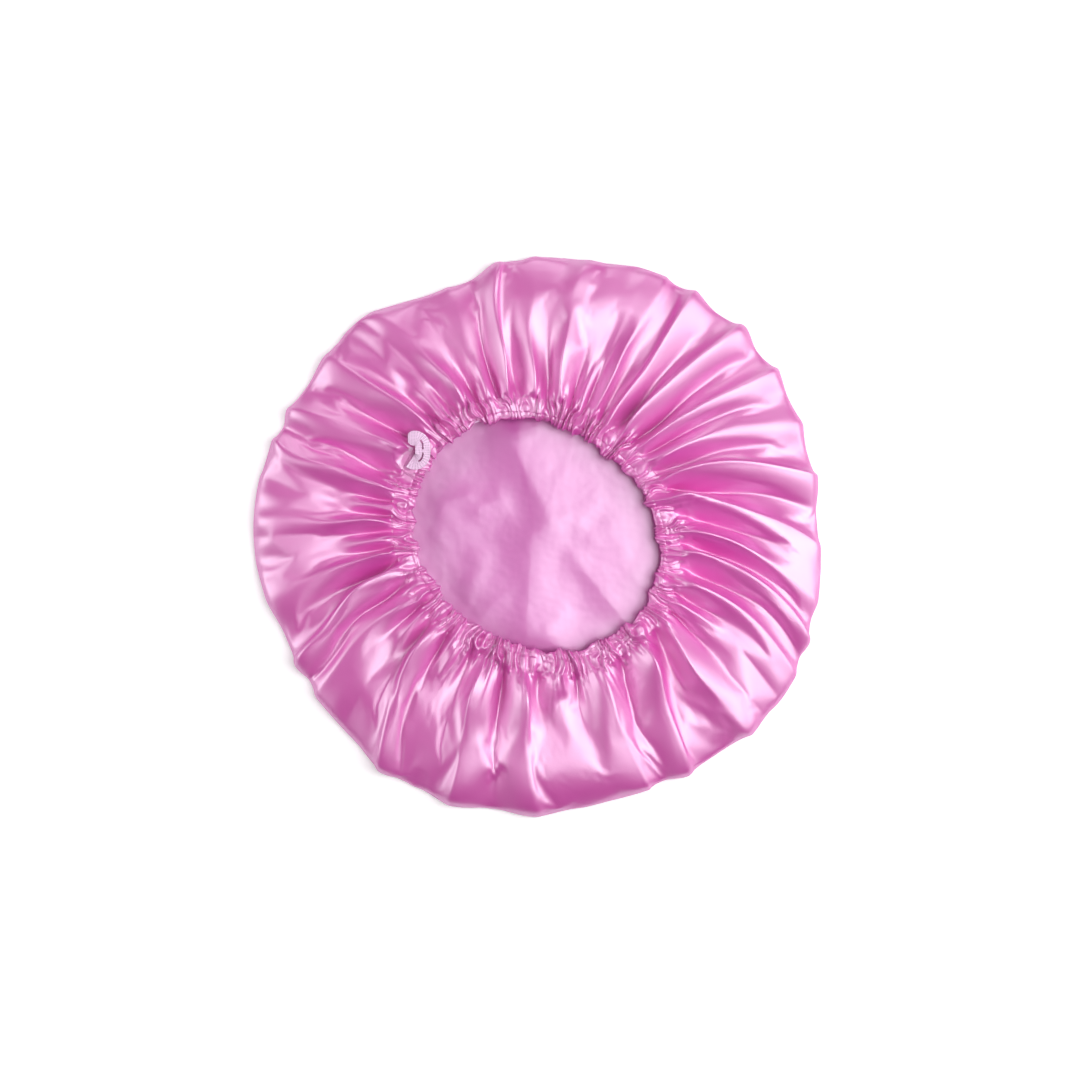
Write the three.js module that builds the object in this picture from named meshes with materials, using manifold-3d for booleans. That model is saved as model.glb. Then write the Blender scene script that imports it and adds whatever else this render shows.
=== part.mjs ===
// Gathered satin hair bonnet with an adjustable elastic, laid on a table with its opening up.
// Millimetres, +Z up, origin in the middle of the crown where it rests on the table.
// The satin is two nested layers, drawn in by an elastic that runs through a gathered casing. A loop of
// buttonhole elastic comes up through a slit in the casing, and a small sewn button holds it tightened.
import * as THREE from "three";
import { mergeVertices } from "three/addons/utils/BufferGeometryUtils.js";
import Module from "manifold-3d";

const wasm = await Module();
wasm.setup();

const degree = Math.PI / 180;

// The laid cap.
const capRadius = 180;
const foldHeight = 5.5;
const rimLevel = 4.8;
const rimTuck = 8;
const rimDip = 3;
const clothWall = 0.8;
const layerGap = 0.4;
const seamGap = 0.3;

// The opening and the casing round it. The opening lies a little longer along one line than across it.
const openingRadius = 75;
const openingStretch = 6.5;
const stretchAngle = 145 * degree;
const casingWidth = 14.5;
const casingLevel = 13.5;
const casingHalfThickness = 2.8;
const gatherCount = 56;
const gatherDepth = 0.9;
const gatherDriftShare = 0.22;
const gatherUnevenShare = 0.3;
const edgeWaveShare = 0.65;

// The elastic and the tunnel that holds it.
const elasticWidth = 9.4;
const elasticThickness = 1;
const tunnelSideGap = 0.45;
const tunnelHeight = 2.2;
const restGap = 0.3;
const tunnelStations = 56;

// The adjuster: a slit, the strap that comes up through it, and the loop at the strap's end.
const slitAngle = 149.2 * degree;
const slitInset = 1.7;
const slitSlack = 0.7;
const bindingWidth = 1.2;
const bindingThickness = 0.6;
const loopBend = 5;
const loopRun = 5.2;
const loopTail = 4.5;
const loopClearance = 1.1;
const loopRise = 3.8;
const loopEndRise = 1.7;
const loopTilt = 0.8;
const loopStations = 28;
const slotWidth = 0.9;
const slotLength = 6.5;
const slotSpacing = 2;
const slotSteps = 6;

// The button and its thread.
const buttonRadius = 5;
const buttonThickness = 1.8;
const buttonWell = 0.8;
const buttonRim = 1.1;
const buttonShank = 1.9;
const holeOffset = 1.1;
const holeRadius = 0.8;
const threadRadius = 0.3;
const padRadius = 2.1;
const padThickness = 1.1;

// The seams.
const seamThreadRadius = 0.22;
const tackLength = 8;
const tackWidth = 1.4;
const tackThickness = 0.5;
const tackTurns = 8;
const tackSpacing = 1.2;

// One overrun lets a cutting solid pass the face that it cuts.
const overrun = 2;

// The main folds, anticlockwise. Each lists the angles in degrees of its crest at the casing, half way out
// and at the rim, how far it carries the rim out, and how high it stands half way out and at the rim.
const folds = [
  { crest: [3, -1, -12], reachShare: 1.035, riseShares: [0.7, 0.5] },
  { crest: [18, 8, -2], reachShare: 1.014, riseShares: [1, 0.7] },
  { crest: [25.5, 20, 11.5], reachShare: 1.02, riseShares: [1, 1] },
  { crest: [37, 33.5, 33], reachShare: 1.045, riseShares: [1, 1] },
  { crest: [43, 40.5, 40], reachShare: 1.03, riseShares: [0.7, 0.4] },
  { crest: [50, 48.5, 45.5], reachShare: 1.047, riseShares: [1, 1] },
  { crest: [57, 55.5, 57.5], reachShare: 1.035, riseShares: [0.8, 0.9] },
  { crest: [65.5, 64.5, 62], reachShare: 1.03, riseShares: [0.9, 0.4] },
  { crest: [71, 71, 70], reachShare: 1.02, riseShares: [0.6, 0.2] },
  { crest: [78, 81, 79], reachShare: 1, riseShares: [1, 0.8] },
  { crest: [91, 91, 92], reachShare: 0.995, riseShares: [0.9, 0.4] },
  { crest: [101, 101, 98], reachShare: 0.985, riseShares: [1, 1] },
  { crest: [109, 108, 108], reachShare: 0.937, riseShares: [0.6, 0.5] },
  { crest: [118, 121, 129], reachShare: 0.998, riseShares: [0.8, 0.8] },
  { crest: [127, 129.5, 135], reachShare: 0.99, riseShares: [0.8, 0.6] },
  { crest: [133, 137, 138.5], reachShare: 0.988, riseShares: [1, 0.9] },
  { crest: [147, 149.5, 153], reachShare: 0.993, riseShares: [1, 0.9] },
  { crest: [162, 163, 158], reachShare: 0.998, riseShares: [1, 1] },
  { crest: [169.5, 169.5, 169], reachShare: 1.005, riseShares: [0.9, 1] },
  { crest: [175, 176, 177], reachShare: 1.005, riseShares: [0.9, 0.6] },
  { crest: [180, 183, 186], reachShare: 1, riseShares: [0.9, 0.6] },
  { crest: [185.5, 189.5, 194], reachShare: 0.988, riseShares: [0.9, 0.6] },
  { crest: [190.5, 199, 208], reachShare: 0.975, riseShares: [1, 0.9] },
  { crest: [206, 210, 216], reachShare: 0.972, riseShares: [0.7, 0.3] },
  { crest: [214, 219, 226], reachShare: 0.975, riseShares: [0.7, 0.3] },
  { crest: [221, 227, 236], reachShare: 1.01, riseShares: [1, 1] },
  { crest: [231, 235, 241], reachShare: 0.995, riseShares: [0.5, 0.3] },
  { crest: [247, 250, 252], reachShare: 1.01, riseShares: [1, 1] },
  { crest: [265, 267, 270.5], reachShare: 1.003, riseShares: [1, 1] },
  { crest: [280, 276, 278], reachShare: 0.985, riseShares: [0.8, 0.1] },
  { crest: [297, 293.5, 296], reachShare: 0.99, riseShares: [0.9, 0.6] },
  { crest: [318, 308.5, 303], reachShare: 1.015, riseShares: [1, 0.9] },
  { crest: [329, 320, 321], reachShare: 1.045, riseShares: [1, 1] },
  { crest: [335, 332, 326], reachShare: 1.05, riseShares: [0.9, 0.4] },
  { crest: [343, 341, 333], reachShare: 1.05, riseShares: [0.7, 0.2] },
  { crest: [354, 350, 336], reachShare: 1.05, riseShares: [1, 1] },
];

// Where "half way out" lies between the casing and the rim.
const middleShare = 0.42;

// Rows of the gathered side, from the casing's seam out to the rim's shoulder: the way out, the level from
// the rim's to the casing's, the folds' height, and the direction (outward, up) of the wall's inner face.
const sideRows = [
  { outShare: 0, levelShare: 1, foldShare: 0.2, inwards: [0, -1] },
  { outShare: 0.1, levelShare: 1.29, foldShare: 0.65, inwards: [0, -1] },
  { outShare: 0.3, levelShare: 1.32, foldShare: 1, inwards: [0, -1] },
  { outShare: 0.55, levelShare: 1.14, foldShare: 0.85, inwards: [0, -1] },
  { outShare: 0.78, levelShare: 0.85, foldShare: 0.55, inwards: [0, -1] },
  { outShare: 0.94, levelShare: 0.44, foldShare: 0.25, inwards: [-0.4, -0.9] },
];
const rimInwards = [-1, 0];
const tableEdgeInwards = [-0.6, 1];

// The casing's cross-section: across its width from the opening outwards, and up and down from its level.
const casingSectionShares = [
  [0, 0], [0.1, 0.8], [0.5, 1], [0.9, 0.8], [1, 0], [0.9, -0.8], [0.5, -1], [0.1, -0.8],
];
const seamRowShare = 0.9;
const edgeRowShare = 0.1;
const seamRowLevelShare = 0.8;

const satin = new THREE.MeshStandardMaterial({ color: 0xdd88c7, roughness: 0.35, metalness: 0.1 });
const liningSatin = new THREE.MeshStandardMaterial({ color: 0xe6a6da, roughness: 0.45, metalness: 0.05 });
const elasticKnit = new THREE.MeshStandardMaterial({ color: 0xeccfe8, roughness: 0.85, metalness: 0 });
const sewingThread = new THREE.MeshStandardMaterial({ color: 0xd06fb4, roughness: 0.6, metalness: 0 });
const buttonResin = new THREE.MeshStandardMaterial({ color: 0xf0c4e4, roughness: 0.25, metalness: 0 });

const lerp = THREE.MathUtils.lerp;
const atAngle = (angle, radius, height) =>
  new THREE.Vector3(radius * Math.cos(angle), radius * Math.sin(angle), height);

// Inner edge of the casing, and its outer edge, where the seam holds the gathered side.
const openingEdge = (angle) => openingRadius + openingStretch * Math.cos(2 * (angle - stretchAngle));
const casingEdge = (angle) => openingEdge(angle) + casingWidth;

function geometryFrom(points, faces) {
  const geometry = new THREE.BufferGeometry();
  geometry.setFromPoints(points);
  geometry.setIndex(faces);
  geometry.computeVertexNormals();
  return geometry;
}

function named(name, geometry, material) {
  const mesh = new THREE.Mesh(geometry, material);
  mesh.name = name;
  return mesh;
}

// A closed body skinned over stations, each a loop of as many points. The stations join up into a ring, or
// the first and the last loop are closed by flat caps.
function skinOver(stations, joinsUp) {
  const size = stations[0].length;
  const faces = [];
  const spans = joinsUp ? stations.length : stations.length - 1;
  for (let s = 0; s < spans; s++) {
    const here = s * size;
    const next = ((s + 1) % stations.length) * size;
    for (let p = 0; p < size; p++) {
      const q = (p + 1) % size;
      faces.push(here + p, next + q, next + p, here + p, here + q, next + q);
    }
  }
  if (!joinsUp) {
    const end = (stations.length - 1) * size;
    for (let p = 1; p < size - 1; p++) faces.push(0, p + 1, p, end, end + p, end + p + 1);
  }
  return geometryFrom(stations.flat(), faces);
}

// A thin closed wall between two nested grids of points. Row 0 is the open edge, and past the last row each
// grid closes in one middle point.
function wallBetween(outside, inside) {
  const rows = outside.grid.length;
  const across = outside.grid[0].length;
  const points = [...outside.grid.flat(), outside.middle, ...inside.grid.flat(), inside.middle];
  const insideStart = rows * across + 1;
  const faces = [];
  for (let j = 0; j < across; j++) {
    const k = (j + 1) % across;
    for (let i = 0; i < rows - 1; i++) {
      const [a, b, c, d] = [i * across + j, (i + 1) * across + j, (i + 1) * across + k, i * across + k];
      faces.push(a, b, c, a, c, d);
      faces.push(insideStart + a, insideStart + c, insideStart + b);
      faces.push(insideStart + a, insideStart + d, insideStart + c);
    }
    const lastRow = (rows - 1) * across;
    faces.push(lastRow + j, rows * across, lastRow + k);
    faces.push(insideStart + lastRow + j, insideStart + lastRow + k, insideStart + rows * across);
    faces.push(j, k, insideStart + k, j, insideStart + k, insideStart + j);
  }
  return geometryFrom(points, faces);
}

// Booleans, on geometry whose shared points are merged.
function solid(geometry) {
  const bare = geometry.clone();
  bare.deleteAttribute("normal");
  bare.deleteAttribute("uv");
  const merged = mergeVertices(bare);
  return new wasm.Manifold(
    new wasm.Mesh({
      numProp: 3,
      vertProperties: merged.attributes.position.array,
      triVerts: new Uint32Array(merged.index.array),
    }),
  );
}

function geometryOf(manifold) {
  const mesh = manifold.getMesh();
  const geometry = new THREE.BufferGeometry();
  geometry.setAttribute("position", new THREE.BufferAttribute(mesh.vertProperties, 3));
  geometry.setIndex(new THREE.BufferAttribute(mesh.triVerts, 1));
  geometry.computeVertexNormals();
  return geometry;
}

// The value at a share of the way out, on the curve through three: at the casing, half way and at the rim.
function alongFold([start, middle, end], share) {
  const nearEnd = (share * (share - middleShare)) / (1 - middleShare);
  const nearMiddle = (share * (1 - share)) / (middleShare * (1 - middleShare));
  const nearStart = ((share - middleShare) * (share - 1)) / middleShare;
  return start * nearStart + middle * nearMiddle + end * nearEnd;
}

// How high a fold stands at a share of the way out. Every fold is full at the casing.
function foldRise([middle, end], share) {
  if (share < middleShare) return lerp(1, middle, share / middleShare);
  return lerp(middle, end, (share - middleShare) / (1 - middleShare));
}

// The crest and the valley after it, for every fold. Both give their angle, rise and rim radius.
function foldStations() {
  return folds.flatMap((fold, k) => {
    const after = folds[(k + 1) % folds.length];
    const turn = k + 1 === folds.length ? 360 : 0;
    const angleOf = (share) => alongFold(fold.crest, share) * degree;
    const angleAfter = (share) => (alongFold(after.crest, share) + turn) * degree;
    const riseOf = (share) => foldRise(fold.riseShares, share);
    const riseAfter = (share) => foldRise(after.riseShares, share);
    const dip = (rimDip * (fold.riseShares[1] + after.riseShares[1])) / 2;
    return [
      { angle: angleOf, rise: riseOf, rim: capRadius * fold.reachShare },
      {
        angle: (share) => (angleOf(share) + angleAfter(share)) / 2,
        rise: (share) => -(riseOf(share) + riseAfter(share)) / 2,
        rim: (capRadius * (fold.reachShare + after.reachShare)) / 2 - dip,
      },
    ];
  });
}

const stations = foldStations();

// The angle between a station and the next, at the casing. A chord that spans it must still clear the casing.
function widestStep(index) {
  const count = stations.length;
  const angleAt = (i) => stations[(i + count) % count].angle(0) + 2 * Math.PI * Math.floor(i / count);
  return Math.max(angleAt(index) - angleAt(index - 1), angleAt(index + 1) - angleAt(index));
}

// One face of the satin, set in from the cap's outer face: the gathered side, the rim and the crown.
function clothFace(inset) {
  const seamRadius = stations.map(
    (station, j) => (casingEdge(station.angle(0)) + seamGap) / Math.cos(widestStep(j) / 2),
  );
  const side = sideRows.map((row) =>
    stations.map((station, j) => {
      const radius = lerp(seamRadius[j], station.rim, row.outShare) + row.inwards[0] * inset;
      const level = lerp(rimLevel, casingLevel, row.levelShare);
      const fold = foldHeight * row.foldShare * station.rise(row.outShare);
      return atAngle(station.angle(row.outShare), radius, level + fold + row.inwards[1] * inset);
    }),
  );
  const rim = stations.map((station) =>
    atAngle(station.angle(1), station.rim + rimInwards[0] * inset, rimLevel + rimInwards[1] * inset),
  );
  const tableEdge = stations.map((station) => {
    const radius = station.rim - rimTuck + tableEdgeInwards[0] * inset;
    return atAngle(station.angle(1), radius, tableEdgeInwards[1] * inset);
  });
  return { grid: [...side, rim, tableEdge], middle: new THREE.Vector3(0, 0, inset) };
}

function outerShell() {
  return named("outer_shell", wallBetween(clothFace(0), clothFace(clothWall)), satin);
}

function lining() {
  const inset = clothWall + layerGap;
  return named("lining", wallBetween(clothFace(inset), clothFace(inset + clothWall)), liningSatin);
}

// Stations round the casing, a crest and a valley for each gather, with uneven spacing and depth.
const gatherStations = Array.from({ length: 2 * gatherCount }, (_, i) => {
  const [spacingBeat, depthBeat] = [2.4, 1.7];
  const side = i % 2 === 0 ? 1 : -1;
  return {
    angle: ((i + gatherDriftShare * Math.sin(spacingBeat * i)) * Math.PI) / gatherCount,
    swell: side * gatherDepth * (1 - gatherUnevenShare * (0.5 + 0.5 * Math.sin(depthBeat * i))),
  };
});

function casingPoint(station, widthShare, levelShare, lift = 0) {
  const wave = widthShare === 0 ? edgeWaveShare * station.swell : 0;
  const radius = openingEdge(station.angle) + casingWidth * widthShare - wave;
  const level = casingLevel + levelShare * (casingHalfThickness + station.swell);
  return atAngle(station.angle, radius, level + lift);
}

// Angles spread evenly over a sweep, without its end.
const spreadAngles = (from, sweep, count) =>
  Array.from({ length: count }, (_, i) => from + (sweep * i) / count);

const tunnelWidth = elasticWidth + 2 * tunnelSideGap;
const tunnelInset = (casingWidth - tunnelWidth) / 2;
const tunnelFloor = casingLevel - tunnelHeight / 2;

// A rectangle set upright across the casing at an angle, from its distance past the opening's edge.
function rectangleAt(angle, inset, width, bottom, height) {
  const inner = openingEdge(angle) + inset;
  return [
    atAngle(angle, inner, bottom),
    atAngle(angle, inner, bottom + height),
    atAngle(angle, inner + width, bottom + height),
    atAngle(angle, inner + width, bottom),
  ];
}

// The slit lies along the casing, over the outer edge of the tunnel.
const slitRadius = openingEdge(slitAngle) + tunnelInset + tunnelWidth - slitInset;
const slitCentre = atAngle(slitAngle, slitRadius, 0);
const slitLength = elasticWidth + 2 * slitSlack;
const slitWidth = elasticThickness + 2 * slitSlack;
const casingTop = casingLevel + casingHalfThickness + gatherDepth;

const loopBase = casingTop + restGap + bindingThickness + loopClearance;

function slitOutline(length, width) {
  const half = width / 2;
  const straight = length / 2 - half;
  const outline = new THREE.Shape();
  outline.absarc(straight, 0, half, -Math.PI / 2, Math.PI / 2);
  outline.absarc(-straight, 0, half, Math.PI / 2, (3 * Math.PI) / 2);
  return outline;
}

// Turns a shape drawn along X to lie over the slit, its length along the casing.
function placeOverSlit(geometry, height) {
  geometry.rotateZ(slitAngle + Math.PI / 2);
  geometry.translate(slitCentre.x, slitCentre.y, height);
  return geometry;
}

function elasticCasing() {
  const loops = gatherStations.map((station) =>
    casingSectionShares.map(([widthShare, levelShare]) => casingPoint(station, widthShare, levelShare)),
  );
  const tunnel = spreadAngles(0, 2 * Math.PI, tunnelStations).map((angle) =>
    rectangleAt(angle, tunnelInset, tunnelWidth, tunnelFloor, tunnelHeight),
  );
  const slitCut = new THREE.ExtrudeGeometry(slitOutline(slitLength, slitWidth), {
    depth: casingTop - casingLevel + overrun,
    bevelEnabled: false,
    curveSegments: 4,
  });
  const cut = solid(skinOver(loops, true))
    .subtract(solid(skinOver(tunnel, true)))
    .subtract(solid(placeOverSlit(slitCut, casingLevel)));
  return named("elastic_casing", geometryOf(cut), satin);
}

// Angle that a length along the casing takes up at the slit.
const alongCasing = (length) => length / slitRadius;

function elasticBand() {
  const gap = alongCasing(slitLength / 2 + overrun);
  const sweep = 2 * Math.PI - 2 * gap;
  const angles = spreadAngles(slitAngle + gap, sweep, tunnelStations).concat(slitAngle + gap + sweep);
  const loops = angles.map((angle) =>
    rectangleAt(angle, tunnelInset + tunnelSideGap, elasticWidth, tunnelFloor + restGap, elasticThickness),
  );
  return named("elastic_band", skinOver(loops, false), elasticKnit);
}

// The overcast edge of the slit.
function slitBinding() {
  const outline = slitOutline(slitLength + 2 * bindingWidth, slitWidth + 2 * bindingWidth);
  outline.holes.push(slitOutline(slitLength, slitWidth));
  const ring = new THREE.ExtrudeGeometry(outline, {
    depth: bindingThickness,
    bevelEnabled: false,
    curveSegments: 8,
  });
  return named("slit_binding", placeOverSlit(ring, casingTop + restGap), sewingThread);
}

// The strap between the tunnel and the loop, which stretches as the loop is pulled up.
function adjusterStem() {
  const bottom = tunnelFloor + restGap;
  const height = loopBase - restGap - bottom;
  const strap = new THREE.BoxGeometry(elasticWidth, elasticThickness, height);
  return named("adjuster_stem", placeOverSlit(strap, bottom + height / 2), elasticKnit);
}

// The loop's route, seen from above: inwards from the slit round a bend, straight along +Y, round a second
// bend and back outwards. It starts half a thickness behind the slit's centre, over the strap.
const firstTurn = (3 * Math.PI) / 2 - slitAngle;
const firstBend = loopBend * firstTurn;
const secondBend = (loopBend * Math.PI) / 2;
const loopLength = firstBend + loopRun + secondBend + loopTail;
const bendCentre = new THREE.Vector2(
  slitCentre.x + loopBend * Math.sin(slitAngle),
  slitCentre.y - loopBend * Math.cos(slitAngle),
);

// Where the route is at a length along it, and which way its right-hand side faces.
function loopRoute(along) {
  if (along < firstBend) {
    const facing = (along - firstBend) / loopBend;
    return {
      x: bendCentre.x + loopBend * Math.cos(facing),
      y: bendCentre.y + loopBend * Math.sin(facing),
      facing,
    };
  }
  const side = bendCentre.x + loopBend;
  const onRun = along - firstBend;
  if (onRun < loopRun) return { x: side, y: bendCentre.y + onRun, facing: 0 };
  const turned = Math.min((onRun - loopRun) / loopBend, Math.PI / 2);
  const tail = Math.max(onRun - loopRun - secondBend, 0);
  return {
    x: bendCentre.x + loopBend * Math.cos(turned) - tail,
    y: bendCentre.y + loopRun + loopBend * Math.sin(turned),
    facing: turned,
  };
}

// A point on the loop: a length along its route, a distance across the strap and a height in its thickness.
// The loop arches up over the button, and its outer edge droops.
function loopPoint(along, across, lift) {
  const share = THREE.MathUtils.clamp(along / loopLength, 0, 1);
  const place = loopRoute(along);
  const arch = loopRise * Math.sin(Math.PI * share) + loopEndRise * share * share;
  const droop = ((loopTilt * across) / (elasticWidth / 2)) * Math.sin(Math.PI * share);
  return new THREE.Vector3(
    place.x + across * Math.cos(place.facing),
    place.y + across * Math.sin(place.facing),
    loopBase + arch - droop + lift,
  );
}

function loopStrip(from, length, steps, halfWidth, bottom, top) {
  const loops = [];
  for (let i = 0; i <= steps; i++) {
    const along = from + (length * i) / steps;
    loops.push([
      loopPoint(along, -halfWidth, bottom),
      loopPoint(along, -halfWidth, top),
      loopPoint(along, halfWidth, top),
      loopPoint(along, halfWidth, bottom),
    ]);
  }
  return skinOver(loops, false);
}

// The loop of buttonhole elastic, with the two slots that the button goes through. They meet at a bar of
// elastic near the start of the straight run.
function adjusterLoop() {
  const start = -elasticThickness / 2;
  const bar = firstBend + slotSpacing;
  const halfWidth = elasticWidth / 2;
  let strap = solid(loopStrip(start, loopLength - start, loopStations, halfWidth, 0, elasticThickness));
  for (const from of [bar - slotSpacing / 2 - slotLength, bar + slotSpacing / 2]) {
    const cutTop = elasticThickness + overrun;
    const cut = loopStrip(from, slotLength, slotSteps, slotWidth / 2, -overrun, cutTop);
    strap = strap.subtract(solid(cut));
  }
  return named("adjuster_loop", geometryOf(strap), elasticKnit);
}

// The button stands on the casing, under the middle of the loop's straight run.
const buttonPlace = new THREE.Vector3(
  bendCentre.x + loopBend,
  bendCentre.y + loopRun / 2,
  casingTop + buttonShank,
);
const holePlaces = [0, 1, 2, 3].map((quarter) => {
  const angle = (quarter + 0.5) * (Math.PI / 2);
  return [holeOffset * Math.SQRT2 * Math.cos(angle), holeOffset * Math.SQRT2 * Math.sin(angle)];
});

// An upright cylinder from a height, at a place in the button's own plan.
function post([x, y], radius, bottom, height, sides) {
  const rod = new THREE.CylinderGeometry(radius, radius, height, sides);
  rod.rotateX(Math.PI / 2);
  rod.translate(x, y, bottom + height / 2);
  return solid(rod);
}

function adjusterButton() {
  const edge = buttonRim / 2;
  const profile = [
    [0, 0],
    [buttonRadius - edge, 0],
    [buttonRadius, edge],
    [buttonRadius, buttonThickness - edge],
    [buttonRadius - edge, buttonThickness],
    [buttonRadius - buttonRim, buttonThickness],
    [buttonRadius - 2 * buttonRim, buttonThickness - buttonWell],
    [0, buttonThickness - buttonWell],
  ].map(([x, y]) => new THREE.Vector2(x, y));
  const lathe = new THREE.LatheGeometry(profile, 32);
  lathe.rotateX(Math.PI / 2);
  const drill = buttonThickness + 2 * overrun;
  let disc = solid(lathe);
  for (const place of holePlaces) disc = disc.subtract(post(place, holeRadius, -overrun, drill, 12));
  const geometry = geometryOf(disc);
  geometry.translate(buttonPlace.x, buttonPlace.y, buttonPlace.z);
  return named("adjuster_button", geometry, buttonResin);
}

// The sewing thread: a wound pad on the casing, four strands through the button and two bars across it.
function buttonThread() {
  const padBottom = restGap - buttonShank;
  const barBottom = buttonThickness - buttonWell + restGap;
  const barHeight = 2 * threadRadius;
  let thread = post([0, 0], padRadius, padBottom, padThickness, 16);
  const strandHeight = barBottom + barHeight - padBottom;
  for (const place of holePlaces) thread = thread.add(post(place, threadRadius, padBottom, strandHeight, 8));
  for (const side of [-1, 1]) {
    const bar = new THREE.BoxGeometry(2 * holeOffset + 2 * threadRadius, 2 * threadRadius, barHeight);
    bar.translate(0, side * holeOffset, barBottom + barHeight / 2);
    thread = thread.add(solid(bar));
  }
  const geometry = geometryOf(thread);
  geometry.translate(buttonPlace.x, buttonPlace.y, buttonPlace.z);
  return named("button_thread", geometry, sewingThread);
}

// A row of stitching round the casing, on its gathers. The thread's section is a square set on its corner.
function seamThread(name, rowShare) {
  const centreLift = restGap + seamThreadRadius;
  const loops = gatherStations.map((station) => {
    const centre = casingPoint(station, rowShare, seamRowLevelShare, centreLift);
    const outward = atAngle(station.angle, seamThreadRadius, 0);
    const upward = new THREE.Vector3(0, 0, seamThreadRadius);
    return [
      centre.clone().sub(outward),
      centre.clone().add(upward),
      centre.clone().add(outward),
      centre.clone().sub(upward),
    ];
  });
  return named(name, skinOver(loops, true), sewingThread);
}

// The dense row of stitches that holds the elastic's sewn end, across the casing beside the slit.
function bandEndTack() {
  const pitch = tackLength / tackTurns;
  const outline = new THREE.Shape();
  outline.moveTo(-tackLength / 2, 0);
  for (let turn = 0; turn < tackTurns; turn++) {
    const start = -tackLength / 2 + turn * pitch;
    outline.lineTo(start + pitch / 4, tackThickness);
    outline.lineTo(start + (3 * pitch) / 4, tackThickness);
    outline.lineTo(start + pitch, tackThickness / 2);
  }
  outline.lineTo(tackLength / 2, 0);
  const stitches = new THREE.ExtrudeGeometry(outline, { depth: tackWidth, bevelEnabled: false });
  stitches.translate(0, 0, -tackWidth / 2);
  stitches.rotateX(Math.PI / 2);
  const fromSlit = slitLength / 2 + bindingWidth + tackSpacing + tackWidth / 2;
  const angle = slitAngle + alongCasing(fromSlit);
  stitches.rotateZ(angle);
  const middle = atAngle(angle, openingEdge(angle) + casingWidth / 2, casingTop + restGap);
  stitches.translate(middle.x, middle.y, middle.z);
  return named("band_end_tack", stitches, sewingThread);
}

const bonnet = new THREE.Group();
bonnet.add(
  outerShell(),
  lining(),
  elasticCasing(),
  elasticBand(),
  seamThread("casing_seam_thread", seamRowShare),
  seamThread("edge_seam_thread", edgeRowShare),
  slitBinding(),
  bandEndTack(),
  adjusterStem(),
  adjusterLoop(),
  adjusterButton(),
  buttonThread(),
);

export default bonnet;
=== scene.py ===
"""Satin hair bonnet with a ruched elastic casing, laid with its opening up."""

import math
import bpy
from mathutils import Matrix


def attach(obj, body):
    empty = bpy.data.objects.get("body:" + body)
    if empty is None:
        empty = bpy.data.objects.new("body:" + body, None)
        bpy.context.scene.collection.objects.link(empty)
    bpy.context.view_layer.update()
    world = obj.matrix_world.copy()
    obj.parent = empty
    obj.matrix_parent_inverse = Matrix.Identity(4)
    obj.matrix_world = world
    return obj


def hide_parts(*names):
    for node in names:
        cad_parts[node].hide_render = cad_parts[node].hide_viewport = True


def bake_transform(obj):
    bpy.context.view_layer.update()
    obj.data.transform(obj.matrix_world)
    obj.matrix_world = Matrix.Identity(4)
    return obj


bl_info = {
    "name": "Satin Hair Bonnet",
    "version": (1, 0, 0),
    "blender": (4, 5, 0),
    "location": "View3D > Sidebar > Bonnet",
    "description": "Gathered satin bonnet with its lining, ruched casing, stitching and buttonhole elastic",
    "category": "Add Mesh",
}

import bmesh
import bpy
import numpy as np
from bpy.props import FloatProperty, FloatVectorProperty, PointerProperty
from mathutils import Matrix, Vector

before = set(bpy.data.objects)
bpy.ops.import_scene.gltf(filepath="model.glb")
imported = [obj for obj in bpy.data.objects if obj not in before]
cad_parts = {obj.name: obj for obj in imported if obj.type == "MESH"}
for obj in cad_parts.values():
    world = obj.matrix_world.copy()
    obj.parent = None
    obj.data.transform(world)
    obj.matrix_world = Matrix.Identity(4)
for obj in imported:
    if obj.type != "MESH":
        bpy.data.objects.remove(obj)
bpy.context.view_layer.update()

DEGREE = math.pi / 180
TURN = 2 * math.pi

# The photograph's frame in pixels: its width, the middle of the cap in it, and the scale.
PHOTO_PIXELS = 1080
CAP_CENTRE_PIXELS = (536.0, 535.5)
METRES_PER_PIXEL = 0.36 / 562

# The laid cap, in metres: its rim, the round it was cut from, how far the rim draws in between two folds,
# the opening and its stretch, and the casing's width, level and half thickness.
CAP_RADIUS = 0.18
CUT_RADIUS = 0.285
RIM_DIP = 0.0050
OPENING_RADIUS = 0.075
OPENING_STRETCH = 0.0065
STRETCH_ANGLE = 145 * DEGREE
CASING_WIDTH = 0.0145
CASING_LEVEL = 0.0135
CASING_HALF_THICKNESS = 0.0028

# The elastic strap, its slit in the casing and the loop that stands out of it. The loop bends, runs
# straight, bends again and ends in a tail. It arches up and tilts a little.
ELASTIC_WIDTH = 0.0094
ELASTIC_THICKNESS = 0.001
SLIT_ANGLE = 149.2 * DEGREE
SLIT_PLACE = (-0.0793, 0.0472)
STEM_LEVELS = (0.0127, 0.0189)
LOOP_LEVEL = 0.0192
LOOP_BEND = 0.005
LOOP_RUN = 0.0052
LOOP_TAIL = 0.0045
LOOP_RISE = 0.0038
LOOP_END_RISE = 0.0017
LOOP_TILT = 0.0008
END_ROUNDING = 0.0035
END_NARROWING = 0.75
LOOP_STEPS = (110, 36)
STEM_STEPS = (26, 36)

# The loop's two slots, cut out this far from the strap's middle, and the elastic's ribs and knit.
SLOT_WIDTH = 0.0009
SLOT_CUT_SHARE = 0.6
SLOT_LENGTH = 0.0065
SLOT_SPACING = 0.002
RIB_COUNT = 10
KNIT_PITCH = 0.0011
WEAVE_DEPTH = 0.00009
KNIT_SHARE = 0.6
UNDER_WEAVE_SHARE = 0.5
STEM_RIB_SHARE = 0.15

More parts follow.
